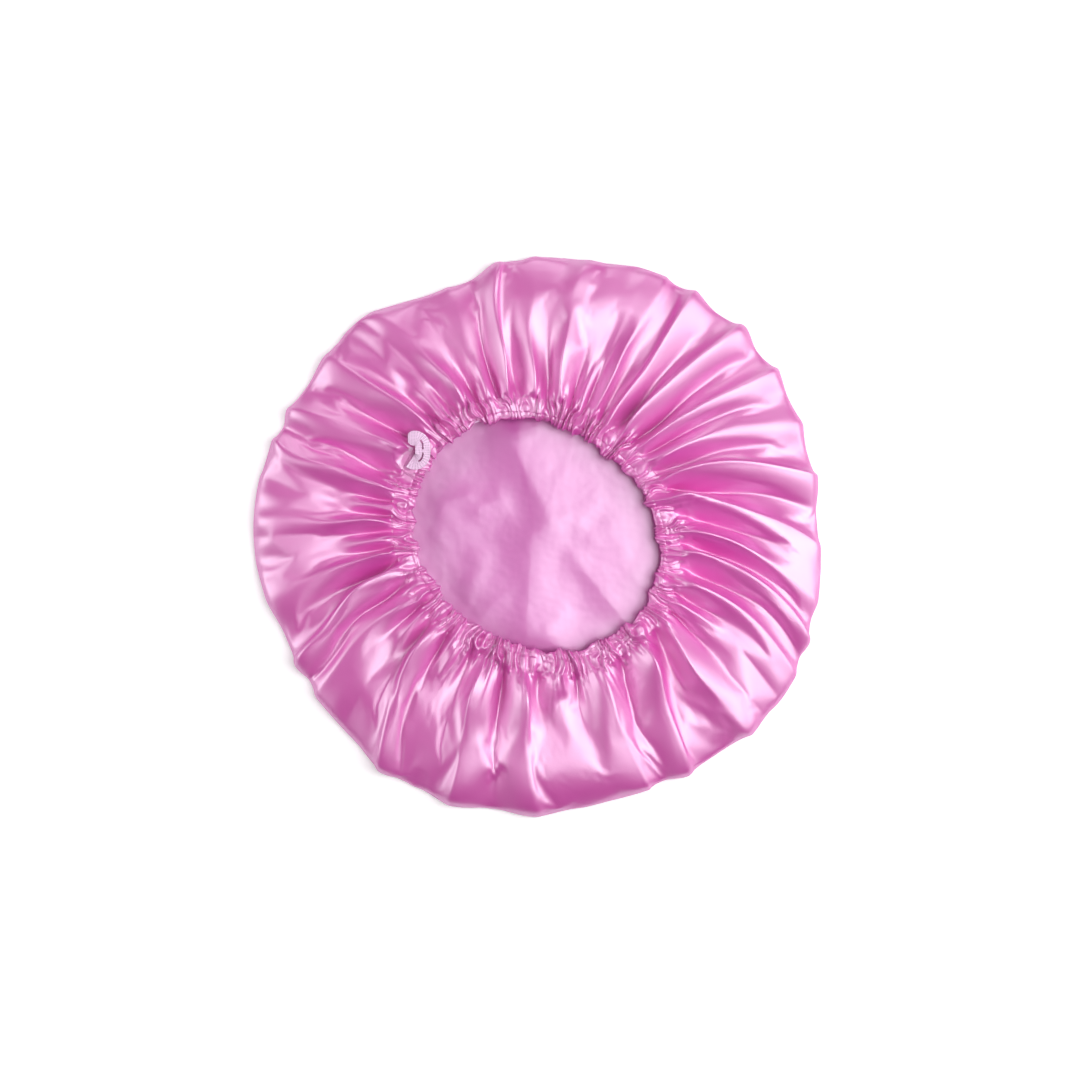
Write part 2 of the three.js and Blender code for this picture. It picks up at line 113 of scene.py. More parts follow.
# Where the satin lies smooth on the casing, under a fitting: each place's middle, its reach and the satin's
# level there. The core is the share of the reach that is fully smooth.
FITTING_CORE = 0.5
FITTINGS = (
    (-0.0793, 0.0472, 0.0125, 0.0172),
    (-0.0716, 0.0541, 0.0100, 0.0172),
    (-0.0798, 0.0381, 0.0085, 0.0172),
)

# The pleats that the elastic draws up: the spread and limits of their widths before they fill the round, the
# limits of their heights, and how far in metres they run out into the satin as gathers. They wander
# sideways in waves with these beats in a round, and by this share of that as they cross the casing.
PLEAT_COUNT = 104
PLEAT_SEED = 5
PLEAT_SPREAD = 0.45
PLEAT_WIDTHS = (0.4, 2.2)
PLEAT_RISES = (0.3, 1.4)
GATHER_REACHES = (0.002, 0.011)
PLEAT_ROUNDING = 1.7
PLEAT_RIPPLE = 0.3
PLEAT_WANDER = 1.5 * DEGREE
CROSSING_WANDER = 0.8
DRIFT_BEATS = (3, 7, 11, 14, 19, 23, 29, 34, 41)

# Places across the casing go from 0 at its inner edge to 1 at its outer edge. The satin's hem lies part of
# the way across, and from the next place on its pleats turn into gathers.
HEM_ACROSS = 0.3
GATHER_START = 0.6
GATHER_RUN = 0.8
HEM_DIP = 0.0007

# The casing's section, a rounded oval. A row of stitching pinches it and flattens its pleats, and so does
# the satin that covers its outer part. The pleats scallop its inner edge, and their tips lean over.
WIDTH_POWER = 0.75
HEIGHT_POWER = 0.7
EDGE_ROW = 0.14
SEAM_ROW = 0.93
ROW_WIDTH = 0.055
ROW_PINCH = 0.0005
ROW_FLATTENING = 0.5
COVER_RUN = 0.12
COVER_FLATTENING = 0.7
COVER_THINNING = 0.45
UNDERSIDE_PLEAT_SHARE = 0.35
SCALLOP = 0.0009
SCALLOP_RUN = 0.4
EDGE_WANDER = 0.0009
TIP_HOOK = 0.0008
CASING_COLUMNS = 1200
CASING_SECTION = 22
CASING_SPIN_RADIUS = 4
CASING_GRAIN = (0.27, 0.006)

# A stitch takes up this share of its pitch on each side of its middle.
STITCH_RADIUS = 0.00022
STITCH_RISE = STITCH_RADIUS / 3
STITCH_HALF_SHARE = 0.36
STITCH_SIDES = 6
STITCH_BANDS = 5
ABOVE_CAP = 0.05

# The main folds, anticlockwise. Each has the angles in degrees of its crest at the casing, half way out and
# at the rim, how far it carries the rim out, how high it stands half way out and at the rim, how much it
# leans over anticlockwise, which makes that flank steep and the other gentle, and how sharp its crest is. A
# fold with heights below zero sinks between its neighbours.
FOLDS = (
    ((4, -3.5, -13), 1.03, (0.9, 0.1), 0.4, 0.1),
    ((18, 8, -2), 1.014, (1.2, 0.1), 0.5, 0.1),
    ((25.5, 20, 12), 1.023, (1.4, 2.2), 0.6, 0.6),
    ((34, 30, 23), 1.03, (0.3, 0.3), 0.1, 0.0),
    ((41, 38, 34.7), 1.045, (0.9, 1.7), 0.4, 0.4),
    ((50, 48.5, 45.5), 1.052, (1.3, 2.2), 0.5, 0.5),
    ((58, 57, 57), 1.04, (0.4, 1.8), 0.4, 0.4),
    ((65.5, 64.5, 63), 1.03, (0.9, 0.3), -0.3, 0.4),
    ((71, 71, 70), 1.02, (-0.5, -0.6), 0.2, 0.1),
    ((78, 81, 79), 1.0, (1.1, 1.2), 0.3, 0.0),
    ((91, 91, 90), 0.995, (0.3, -0.6), -0.3, 0.3),
    ((101, 101, 98), 0.985, (1.3, 2.2), -0.6, 0.6),
    ((109, 109, 110), 0.937, (0.3, 0.4), 0.1, 0.0),
    ((118, 121, 126), 0.985, (0.8, 0.8), -0.4, 0.1),
    ((127, 129.5, 133), 0.99, (-0.5, -0.8), -0.2, 0.1),
    ((133, 137, 139.5), 0.988, (1.1, 1.4), -0.4, 0.3),
    ((147, 149.5, 153), 0.993, (1, 1.2), -0.3, 0.0),
    ((162, 163, 160), 0.998, (1, 1.4), -0.4, 0.2),
    ((169.5, 169.5, 168), 1.005, (-0.5, -0.8), -0.1, 0.1),
    ((175, 176, 177), 1.005, (0.9, 0.8), -0.3, 0.2),
    ((180, 183, 185), 1.0, (-0.3, -0.7), -0.1, 0.1),
    ((185.5, 189.5, 193), 0.988, (0.9, 0.4), -0.4, 0.3),
    ((190.5, 199, 208), 0.975, (1.3, 2.2), -0.6, 0.6),
    ((206, 210, 216), 0.972, (0.4, 0.1), -0.2, 0.0),
    ((214, 219, 226), 0.975, (-0.4, -0.7), -0.2, 0.1),
    ((221, 227, 236), 1.01, (1.3, 1.8), -0.5, 0.4),
    ((233, 237, 244), 0.995, (-0.5, -0.8), 0.1, 0.1),
    ((247, 250, 252), 1.01, (1.2, 1.6), -0.4, 0.3),
    ((265, 267, 270.5), 1.003, (1.1, 1.5), 0.4, 0.3),
    ((280, 276, 280), 0.985, (-0.3, -0.7), 0.2, 0.1),
    ((297, 293.5, 294), 0.99, (0.9, 1), 0.4, 0.1),
    ((318, 308.5, 303), 1.015, (1.1, 1.2), 0.5, 0.3),
    ((329, 320, 317), 1.045, (1.1, 1.6), -0.3, 0.3),
    ((336, 332, 326), 1.05, (-0.2, -0.7), 0.3, 0.2),
    ((343, 340, 332), 1.05, (0.9, 0.1), 0.4, 0.1),
    ((354, 350, 339), 1.045, (1.2, 2), 0.5, 0.6),
)

# Where on the way out a fold's middle angle and height stand, and by where its crest has gone from creased
# to rounded. A fold sways and has dents along its crest, in waves with these turns on the way out. The
# second number of the dents' turns is how much they differ from fold to fold.
MIDDLE_SHARE = 0.47
CREASE_SHARE = 0.9
CREST_ROUNDING = 1.7
SWAY = 0.5 * DEGREE
SWAY_TURNS = 1.5
DENT = 0.2
DENT_TURNS = (1.6, 0.6)
STEEPENING = 1.1
FOLD_SEED = 12

# How a crest moves over to the side that its fold leans to: the lean's share at the hem, its growth on the
# way out, where it has set in, and the least radius that it is worked out for.
LEAN_AT_HEM = 0.3
LEAN_GROWTH = 2
LEAN_RUN = 0.2
LEAST_LEAN_RADIUS = 0.02

# The cap's profile from the satin's inner hem, which lies on the casing, out over the rim and under it to
# the crown's level: the way out, the level in metres and the folds' height there.
CROWN_LEVEL = 0.0003
PROFILE = (
    (0.0, 0.0162, 0.0),
    (0.05, 0.0168, 0.08),
    (0.10, 0.0164, 0.32),
    (0.15, 0.0156, 0.75),
    (0.24, 0.0152, 0.98),
    (0.38, 0.0150, 0.78),
    (0.56, 0.0146, 0.48),
    (0.73, 0.0138, 0.34),
    (0.86, 0.0122, 0.29),
    (0.95, 0.0100, 0.25),
    (0.989, 0.0074, 0.17),
    (1.0, 0.0042, 0.07),
    (0.988, 0.0014, 0.0),
    (0.955, CROWN_LEVEL, 0.0),
)

# The satin's first rows, which are held on the casing, its rows out to the rim and on to the crown's middle,
# and its columns, which the lining shares. Then come the lining's own rows.
HELD_ROWS = 7
SIDE_ROWS = 48
CROWN_ROWS = 8
COLUMNS = 400
LINING_SIDE_ROWS = 24
LINING_CROWN_ROWS = 48

# How the cloth settles. A ring's own length is at most the first share of a plain circle's and at least the
# second share of its laid length. Then come how firmly the valleys and the crests are held, how narrow a
# valley's held part is, the rim's further hold, the rows where that sets in, and Blender's settings.
MOST_FULLNESS = 1.9
LEAST_SPARE = 1.05
VALLEY_HOLD = 0.12
CREST_HOLD = 0.02
VALLEY_NARROWNESS = 4
RIM_HOLD = 0.4
RIM_ROWS = 8
SETTLE_STEPS = 24
CLOTH_SETTINGS = {
    "quality": 8, "mass": 0.2, "tension_stiffness": 30, "compression_stiffness": 30, "shear_stiffness": 8,
    "bending_stiffness": 0.6, "tension_damping": 20, "compression_damping": 20, "shear_damping": 10,
    "bending_damping": 1, "air_damping": 4, "vertex_group_mass": "held", "pin_stiffness": 0.6,
    "use_pressure": True, "uniform_pressure_force": 4.0,
}

# Soft creases in the crown's lining, seen through the opening. Each has its two ends in metres, its height,
# and its widths to the left and to the right of the way from the first end to the second.
CREASES = (
    ((-0.0145, 0.060), (0.009, 0.010), 0.0034, 0.036, 0.014),
    ((-0.003, -0.006), (-0.006, -0.058), 0.0030, 0.030, 0.017),
    ((0.029, 0.006), (0.036, -0.001), 0.0008, 0.013, 0.008),
    ((0.027, -0.016), (0.047, -0.043), 0.0013, 0.016, 0.009),
    ((0.050, 0.004), (0.060, -0.022), 0.0010, 0.013, 0.015),
    ((0.014, -0.054), (0.008, -0.064), 0.0009, 0.011, 0.009),
    ((-0.024, 0.022), (-0.036, 0.017), 0.0013, 0.013, 0.009),
    ((-0.046, 0.024), (-0.058, 0.018), 0.0009, 0.012, 0.008),
    ((-0.050, 0.004), (-0.062, 0.000), 0.0009, 0.011, 0.010),
    ((-0.038, -0.018), (-0.041, -0.034), 0.0012, 0.013, 0.010),
    ((-0.026, -0.042), (-0.032, -0.050), 0.0009, 0.012, 0.010),
)

# The lining's level at the bottom. Its creases fade from this radius on, over this length. It hangs lower
# than the satin in its first rows, and from this share of its side on it is drawn in from the rim.
LINING_LEVEL = 0.0016
CREASE_END_RADIUS = 0.13
CREASE_END_RUN = 0.04
LINING_HEM_DROP = 0.0014
LINING_HEM_ROWS = 4
DRAWN_IN_FROM = 0.6
LEAST_DRAWN_RADIUS = 0.01

# A satin's roughness and index of refraction, and the scale and depth in metres of its soft crush. Both have
# slightly darker patches.
OUTER_SATIN = (0.46, 2.5, 120.0, 0.0006)
LINING_SATIN = (0.40, 2.0, 30.0, 0.012)
PATCH_SCALE = 14.0
PATCH_SHADE = 0.86
PLAIN_SHADE = 0.8
KNIT_SHADE = 0.6

# Blender's wave texture turns this many radians over each unit of its scale.
WAVE_RADIANS = 20

# The floor reaches this far each way, past the edge of a view from the side. Its glow grows on the way out
# from the cap's middle, so that it stays white where the lamps no longer reach it.
FLOOR_REACH = 60.0
GLOW_DISTANCES = (0.5, 2.0)
GLOW_STRENGTHS = (0.3, 1.0)
TABLE_GREY = (0.86, 0.86, 0.86)

# Each lamp's name, place and size in metres, and power in watts. All of them point to the cap's middle.
LAMPS = (
    ("key", (0.6, 0.0, 1.45), 1.0, 16.5),
    ("north", (0.0, 1.4, 0.7), 0.6, 4.0),
    ("west", (-1.4, 0.0, 0.8), 0.8, 10.0),
    ("east", (1.4, 0.0, 0.8), 0.8, 10.0),
)
WORLD_STRENGTH = 0.08
CAMERA_HEIGHT = 2.2


class BonnetSizes(bpy.types.PropertyGroup):
    fold_height: FloatProperty(
        name="Fold height", description="Rise of a main fold's crest over the side's level",
        default=0.0082, min=0.001, max=0.012, unit="LENGTH",
    )
    gather_height: FloatProperty(
        name="Gather height", description="Rise of the small gathers beside the casing",
        default=0.0024, min=0.0, max=0.004, unit="LENGTH",
    )
    pleat_height: FloatProperty(
        name="Casing pleat height", description="Rise of the ruched casing's pleats",
        default=0.0026, min=0.0, max=0.003, unit="LENGTH",
    )
    layer_gap: FloatProperty(
        name="Layer gap", description="Distance from the outer satin to the lining",
        default=0.0014, min=0.0005, max=0.003, unit="LENGTH",
    )
    stitch_length: FloatProperty(
        name="Stitch length", description="Length of one machine stitch",
        default=0.0024, min=0.001, max=0.005, unit="LENGTH",
    )


class BonnetColours(bpy.types.PropertyGroup):
    satin: FloatVectorProperty(
        name="Satin", description="Colour of the outer satin", subtype="COLOR",
        default=(0.77, 0.032, 0.45), min=0, max=1,
    )
    lining: FloatVectorProperty(
        name="Lining", description="Colour of the satin lining", subtype="COLOR",
        default=(0.65, 0.082, 0.45), min=0, max=1,
    )
    elastic: FloatVectorProperty(
        name="Elastic", description="Colour of the buttonhole elastic", subtype="COLOR",
        default=(0.97, 0.66, 0.92), min=0, max=1,
    )
    thread: FloatVectorProperty(
        name="Thread", description="Colour of the sewing thread", subtype="COLOR",
        default=(0.70, 0.24, 0.52), min=0, max=1,
    )
    button: FloatVectorProperty(
        name="Button", description="Colour of the resin button", subtype="COLOR",
        default=(0.86, 0.55, 0.76), min=0, max=1,
    )


def blend_between(a, b, share):
    return a + (b - a) * share


def smooth_step(share):
    share = np.clip(share, 0, 1)
    return share * share * (3 - 2 * share)


def signed_power(value, power):
    return np.sign(value) * np.abs(value) ** power


def cubic(before, here, after, later, part):
    return here + 0.5 * part * (
        after - before
        + part * (2 * before - 5 * here + 4 * after - later + part * (3 * (here - after) + later - before))
    )


def round_curve(values, place):
    """Periodic cubic through values that stand at the whole numbers."""
    values = np.asarray(values, float)
    whole = np.floor(place).astype(int)
    return cubic(*(values[(whole + i) % len(values)] for i in (-1, 0, 1, 2)), place - whole)


def open_curve(points, column, share):
    """Cubic through a table's column, at a share of the way from its first row to its last."""
    values = np.array([row[column] for row in points], float)
    values = np.concatenate(([2 * values[0] - values[1]], values, [2 * values[-1] - values[-2]]))
    place = np.clip(share, 0, 1) * (len(points) - 1)
    whole = np.minimum(np.floor(place).astype(int), len(points) - 2)
    return cubic(*(values[whole + i] for i in range(4)), place - whole)


def polar(radius, angle, level):
    return np.stack([radius * np.cos(angle), radius * np.sin(angle), level], axis=-1)


def opening_edge(angle):
    return OPENING_RADIUS + OPENING_STRETCH * np.cos(2 * (angle - STRETCH_ANGLE))


class Pleats:
    """The uneven pleats of the casing, which run on into the satin as small gathers."""

    def __init__(self):
        draws = np.random.default_rng(PLEAT_SEED)
        widths = np.clip(draws.lognormal(0, PLEAT_SPREAD, PLEAT_COUNT), *PLEAT_WIDTHS)
        self.edges = np.concatenate(([0], np.cumsum(widths))) / widths.sum() * TURN
        self.rises = draws.uniform(*PLEAT_RISES, PLEAT_COUNT)
        self.tips = draws.uniform(-1, 1, PLEAT_COUNT)
        self.reaches = draws.uniform(*GATHER_REACHES, PLEAT_COUNT)
        self.phases = draws.uniform(0, TURN, (3, len(DRIFT_BEATS)))

    def at(self, angle):
        """The pleat at an angle, and the share of its width that lies before the angle."""
        place = np.interp(angle % TURN, self.edges, np.arange(PLEAT_COUNT + 1))
        which = np.minimum(place.astype(int), PLEAT_COUNT - 1)
        return which, place - which

    def drift(self, angle, number):
        """A number that wanders about zero on the way round the casing."""
        waves = [np.sin(beats * angle + phase) for beats, phase in zip(DRIFT_BEATS, self.phases[number])]
        return sum(waves) / math.sqrt(len(waves) / 2)

    def skewed(self, angle, across):
        """The angle whose pleat passes here. The pleats wander as they cross the casing."""
        near = self.drift(angle, 0) * (1 - across)
        between = self.drift(angle, 1) * np.sin(math.pi * across)
        return angle + PLEAT_WANDER * (near + CROSSING_WANDER * between)

    def height(self, angle, across):
        """From -1 in the gaps between pleats to about 1 on their crests."""
        which, part = self.at(self.skewed(angle, across))
        bump = 1 - np.abs(2 * part - 1) ** PLEAT_ROUNDING
        ripple = PLEAT_RIPPLE * np.sin(2 * TURN * part + self.tips[which]) * bump
        return 2 * self.rises[which] * (bump + ripple) - 1

    def hook(self, angle, across):
        """How far a pleat's tip leans over to one side."""
        which, part = self.at(self.skewed(angle, across))
        return self.tips[which] * (1 - np.abs(2 * part - 1) ** 2)

    def fade(self, angle, across):
        """What is left of a pleat in the satin beside the casing."""
        which, _ = self.at(self.skewed(angle, np.clip(across, 0, 1)))
        return np.exp(-np.maximum(across - 1, 0) * CASING_WIDTH / self.reaches[which])


PLEATS = Pleats()


class FoldField:
    """Where a column of the cloth lies at each share of the way out, and how high its fold stands there."""

    def __init__(self, column_angle):
        angles = np.array([fold[0] for fold in FOLDS], float)
        middles = angles[:, 1]
        ends = np.append(middles, middles[0] + 360)
        degrees = np.degrees(column_angle - middles[0] * DEGREE) % 360 + middles[0]
        self.place = np.interp(degrees, ends, np.arange(len(ends)))
        self.middle_angle = degrees * DEGREE
        whole = np.floor(self.place).astype(int) % len(FOLDS)
        part = self.place - np.floor(self.place)
        self.at_ring = round_curve(angles[:, 0] - middles, self.place) * DEGREE
        self.at_rim = round_curve(angles[:, 2] - middles, self.place) * DEGREE
        self.reach = round_curve([fold[1] for fold in FOLDS], self.place)
        leans = np.array([fold[3] for fold in FOLDS])
        self.leans = round_curve(leans, self.place)
        self.draws = np.random.default_rng(FOLD_SEED).uniform(-1, 1, (3, len(FOLDS)))
        near = part < 0.5
        self.crest = np.where(near, whole, (whole + 1) % len(FOLDS))
        self.other = np.where(near, (whole + 1) % len(FOLDS), whole)
        lean = leans[self.crest]
        steeper = np.exp(np.where(near, -lean, lean) * STEEPENING)
        self.to_valley = (np.where(near, part, 1 - part) * 2) ** steeper

    def angle(self, out):
        near_ring = (out - MIDDLE_SHARE) * (out - 1) / MIDDLE_SHARE
        near_rim = out * (out - MIDDLE_SHARE) / (1 - MIDDLE_SHARE)
        sway = round_curve(self.draws[0], self.place) * np.sin(TURN * SWAY_TURNS * out)
        return self.middle_angle + self.at_ring * near_ring + self.at_rim * near_rim + SWAY * sway

    def rise(self, fold, out):
        middle, end = np.array([row[2] for row in FOLDS], float)[fold].T
        inner = blend_between(1.0, middle, np.minimum(out / MIDDLE_SHARE, 1))
        outer = blend_between(middle, end, (out - MIDDLE_SHARE) / (1 - MIDDLE_SHARE))
        return np.where(out < MIDDLE_SHARE, inner, outer)

    def wave(self, out):
        """Height from -1 in the valleys to 1 on the crests, before the profile's envelope."""
        sharp = np.array([row[4] for row in FOLDS])[self.crest]
        creased = 1 - self.to_valley**CREST_ROUNDING
        smooth = 0.5 + 0.5 * np.cos(self.to_valley * math.pi)
        rounded = blend_between(creased, smooth, smooth_step(out / CREASE_SHARE))
        shape = blend_between(rounded, 1 - np.sin(self.to_valley * math.pi / 2), sharp)
        crest = self.rise(self.crest, out)
        valley = -(crest + self.rise(self.other, out)) / 2
        turns = DENT_TURNS[0] + DENT_TURNS[1] * self.draws[1][self.crest]
        dents = np.sin(TURN * (out * turns + self.draws[2][self.crest]))
        return blend_between(valley, crest * (1 + DENT * dents), shape)


def pleated(places, sizes):
    """The satin's places over and beside the casing with the pleats added, smooth at its fittings."""
    x, y, level = places[..., 0], places[..., 1], places[..., 2]
    angle = np.arctan2(y, x)
    across = (np.hypot(x, y) - opening_edge(angle)) / CASING_WIDTH
    gathered = smooth_step((across - GATHER_START) / GATHER_RUN)
    rise = blend_between(sizes.pleat_height, sizes.gather_height, gathered)
    level = level + rise * PLEATS.height(angle, np.clip(across, 0, 1)) * PLEATS.fade(angle, across)
    for spot_x, spot_y, reach, spot_level in FITTINGS:
        away = np.hypot(x - spot_x, y - spot_y)
        outside = smooth_step((away / reach - FITTING_CORE) / (1 - FITTING_CORE))
        level = blend_between(spot_level, level, outside)
    return np.stack([x, y, level], axis=-1)


def linked_object(name, bm):
    mesh = bpy.data.meshes.new(name)
    bm.to_mesh(mesh)
    bm.free()
    made = bpy.data.objects.new(name, mesh)
    bpy.context.scene.collection.objects.link(made)
    return made


def new_piece(name, bm, body, node):
    """A smooth piece that stands for a CAD node. One without a body is left unattached."""
    piece = linked_object(name, bm)
    piece.data.shade_smooth()
    if body:
        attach(piece, body)
    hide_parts(node)
    return piece


def halved(values):
    """A grid of places made twice as fine by the four-point rule. Its columns close round the cap."""
    around = (9 * (values + np.roll(values, -1, 1)) - np.roll(values, 1, 1) - np.roll(values, -2, 1)) / 16
    wide = np.empty((values.shape[0], 2 * values.shape[1], 3))
    wide[:, ::2] = values
    wide[:, 1::2] = around
    ends = np.concatenate((2 * wide[:1] - wide[1:2], wide, 2 * wide[-1:] - wide[-2:-1]))
    made = np.empty((2 * wide.shape[0] - 1, wide.shape[1], 3))
    made[::2] = wide
    made[1::2] = (9 * (wide[:-1] + wide[1:]) - ends[:-3] - ends[3:]) / 16
    return made


def spun_disc(rows, columns):
    """A disc of rings one unit apart, spun from a row of points."""
    bm = bmesh.new()
    points = [bm.verts.new((rows - i, 0, 0)) for i in range(rows + 1)]
    edges = [bm.edges.new(pair) for pair in zip(points, points[1:])]
    bmesh.ops.spin(
        bm, geom=points + edges, cent=(0, 0, 0), axis=(0, 0, 1), angle=TURN, steps=columns, use_merge=True,
    )
    bmesh.ops.remove_doubles(bm, verts=bm.verts, dist=1e-5)
    bmesh.ops.recalc_face_normals(bm, faces=bm.faces)
    return bm


def coordinates(mesh):
    places = np.empty(len(mesh.vertices) * 3)
    mesh.vertices.foreach_get("co", places)
    return places.reshape(-1, 3)


def place_vertices(mesh, places):
    mesh.vertices.foreach_set("co", np.ascontiguousarray(places).ravel())
    mesh.update()


def turn_outwards(mesh, upper):
    """Turns every face round where the faces at a vertex of the upper side point down."""
    if mesh.vertices[upper].normal.z < 0:
        mesh.flip_normals()


def grain_map(mesh, flat):
    """UV map of the cut cloth in metres, so that the weave runs straight through the folds."""
    layer = mesh.uv_layers.new(name="grain")
    corners = np.empty(len(mesh.loops), int)
    mesh.loops.foreach_get("vertex_index", corners)
    layer.data.foreach_set("uv", flat[corners].ravel())


def crease_height(x, y):
    """Height of the crown lining's soft creases."""
    total = np.zeros_like(x)
    for start, end, height, left, right in CREASES:
        along = np.subtract(end, start)
        length = np.hypot(*along)
        along = along / length
        forward = (x - start[0]) * along[0] + (y - start[1]) * along[1]
        aside = -(x - start[0]) * along[1] + (y - start[1]) * along[0]
        width = np.where(aside > 0, left, right)
        over = np.maximum(np.maximum(-forward, forward - length), 0) / min(left, right)
        total += height * np.exp(-(np.abs(aside / width) ** 1.5) - over * over)
    return total


def cloth_shape(row, column_angle, sizes):
    """Places of the cap's satin for rows counted from its hem, at columns round the cap."""
    field = FoldField(column_angle)
    side = np.clip(row / SIDE_ROWS, 0, 1)
    out, level, envelope = (open_curve(PROFILE, column, side) for column in (0, 1, 2))
    out = np.clip(out, 0, 1)
    angle = field.angle(out)
    lift = sizes.fold_height * envelope * field.wave(out)
    rim_rise = np.clip(field.rise(field.crest, 1.0) + field.rise(field.other, 1.0), 0, 4) / 4
    rim = CAP_RADIUS * field.reach - RIM_DIP * rim_rise * np.sin(field.to_valley * math.pi / 2)
    ring = opening_edge(angle) + CASING_WIDTH * HEM_ACROSS
    radius = blend_between(ring, rim, out)
    leaned = np.minimum(1, LEAN_AT_HEM + out * LEAN_GROWTH)
    shift = field.leans * leaned * lift * smooth_step(out / LEAN_RUN)
    to_middle = np.clip((row - SIDE_ROWS) / CROWN_ROWS, 0, 1)
    under = row > SIDE_ROWS
    radius = np.where(under, radius * (1 - to_middle), radius)
    height = np.where(under, CROWN_LEVEL, level + lift)
    angle = angle + shift / np.maximum(radius, LEAST_LEAN_RADIUS)
    return polar(radius, angle, height)


def cut_shape(places, row, column_angle):
    """The cloth as it was cut: a flat disc, its rings as far apart as on the laid cap."""
    rings = np.round(row).astype(int)
    count = rings.max() + 1
    spread = np.hypot(places[:, 0], places[:, 1])
    mean_radius = np.array([spread[rings == i].mean() for i in range(count)])
    mean_level = np.array([places[rings == i, 2].mean() for i in range(count)])
    steps = np.hypot(np.diff(mean_radius), np.diff(mean_level))
    from_middle = np.concatenate((np.cumsum(steps[::-1])[::-1], [0]))
    order = np.argsort(column_angle % TURN)
    loops = [places[order[rings[order] == i]] for i in range(count)]
    laid = np.array([np.linalg.norm(loop - np.roll(loop, 1, 0), axis=1).sum() for loop in loops]) / TURN
    flat = np.maximum(np.minimum(from_middle, MOST_FULLNESS * mean_radius), LEAST_SPARE * laid)
    drop = np.sqrt(np.maximum(steps**2 - np.diff(flat) ** 2, 0))
    level = np.concatenate(([0], np.cumsum(drop)))
    return polar(flat[rings], column_angle, level[rings])


def relax(mesh, places, rest, held):
    """Lets the laid cloth settle between its held rings, towards the shape that it was cut to."""
    scene = bpy.context.scene
    place_vertices(mesh, places)
    piece = bpy.data.objects.new("settling cloth", mesh)
    scene.collection.objects.link(piece)
    piece.shape_key_add(name="laid")
    cut = piece.shape_key_add(name="cut")
    cut.data.foreach_set("co", np.ascontiguousarray(rest).ravel())
    group = piece.vertex_groups.new(name="held")
    for share in np.unique(held):
        group.add(np.flatnonzero(held == share).tolist(), float(share), "REPLACE")
    cloth = piece.modifiers.new("settle", "CLOTH")
    for key, value in CLOTH_SETTINGS.items():
        setattr(cloth.settings, key, value)
    cloth.settings.rest_shape_key = cut
    cloth.settings.effector_weights.gravity = 0
    cloth.point_cache.frame_start = 1
    cloth.point_cache.frame_end = SETTLE_STEPS
    for step in range(1, SETTLE_STEPS + 1):
        scene.frame_set(step)
    settled = coordinates(piece.evaluated_get(bpy.context.evaluated_depsgraph_get()).data)
    bpy.data.objects.remove(piece)
    scene.frame_set(1)
    return settled


def nearest_column(angle, columns):
    return np.round(angle % TURN / TURN * columns).astype(int) % columns


def disc_rows(mesh, rows):
    """The row of each vertex of a spun disc, counted from its outer ring, and its angle."""
    start = coordinates(mesh)
    return rows - np.hypot(start[:, 0], start[:, 1]), np.arctan2(start[:, 1], start[:, 0])


def cloth_grain(mesh, row, angle, rows):
    """Grain map of a round of cloth with evenly spaced rows."""
    flat = CUT_RADIUS * (rows - row) / rows
    grain_map(mesh, np.stack([flat * np.cos(angle), flat * np.sin(angle)], axis=1))


def finish_nodes(name):
    material = bpy.data.materials.new(name)
    material.use_nodes = True
    tree = material.node_tree
    return material, tree, tree.nodes["Principled BSDF"]


def set_inputs(node, **inputs):
    for key, value in inputs.items():
        node.inputs[key.replace("_", " ")].default_value = value


def add_node(tree, kind, **inputs):
    node = tree.nodes.new(kind)
    set_inputs(node, **inputs)
    return node


def math_of(tree, operation, first, second):
    node = tree.nodes.new("ShaderNodeMath")
    node.operation = operation
    tree.links.new(first, node.inputs[0])
    tree.links.new(second, node.inputs[1])
    return node.outputs[0]


def noise(tree, scale, detail):
    where = tree.nodes.new("ShaderNodeTexCoord")
    texture = add_node(tree, "ShaderNodeTexNoise", Scale=scale, Detail=detail)
    tree.links.new(where.outputs["Object"], texture.inputs["Vector"])
    return texture.outputs["Fac"]


def bumped(tree, shader, height, strength, distance):
    bump = add_node(tree, "ShaderNodeBump", Strength=strength, Distance=distance)
    tree.links.new(height, bump.inputs["Height"])
    tree.links.new(bump.outputs["Normal"], shader.inputs["Normal"])


def tinted(tree, shader, factor, shade, light):
    """Colours the shader between a light colour and its shade. A colour mix has its two at 6 and 7."""
    dark = [channel * shade for channel in light]
    tint = tree.nodes.new("ShaderNodeMix")
    tint.data_type = "RGBA"
    tint.inputs[6].default_value = (*dark, 1)
    tint.inputs[7].default_value = (*light, 1)
    tree.links.new(factor, tint.inputs["Factor"])
    tree.links.new(tint.outputs[2], shader.inputs["Base Color"])


def satin_finish(name, colour, roughness, ior, crush_scale, crush_depth):
    material, tree, shader = finish_nodes(name)
    tinted(tree, shader, noise(tree, PATCH_SCALE, 3.0), PATCH_SHADE, colour)
    set_inputs(
        shader, Roughness=roughness, IOR=ior, Specular_Tint=(0.95, 0.90, 1.0, 1), Specular_IOR_Level=1.0,
        Anisotropic=0.4, Sheen_Weight=0.1, Sheen_Roughness=0.4, Sheen_Tint=(1.0, 0.85, 0.97, 1),
    )
    tangent = tree.nodes.new("ShaderNodeTangent")
    tangent.direction_type = "UV_MAP"
    tangent.uv_map = "grain"
    tree.links.new(tangent.outputs["Tangent"], shader.inputs["Tangent"])
    bumped(tree, shader, noise(tree, crush_scale, 3.0), 0.12, crush_depth)
    return material


def plain_finish(name, colour, roughness, scale=900.0, strength=0.3):
    material, tree, shader = finish_nodes(name)
    grain = noise(tree, scale, 2.0)
    tinted(tree, shader, grain, PLAIN_SHADE, colour)
    set_inputs(shader, Roughness=roughness)
    bumped(tree, shader, grain, strength, 0.0002)
    return material


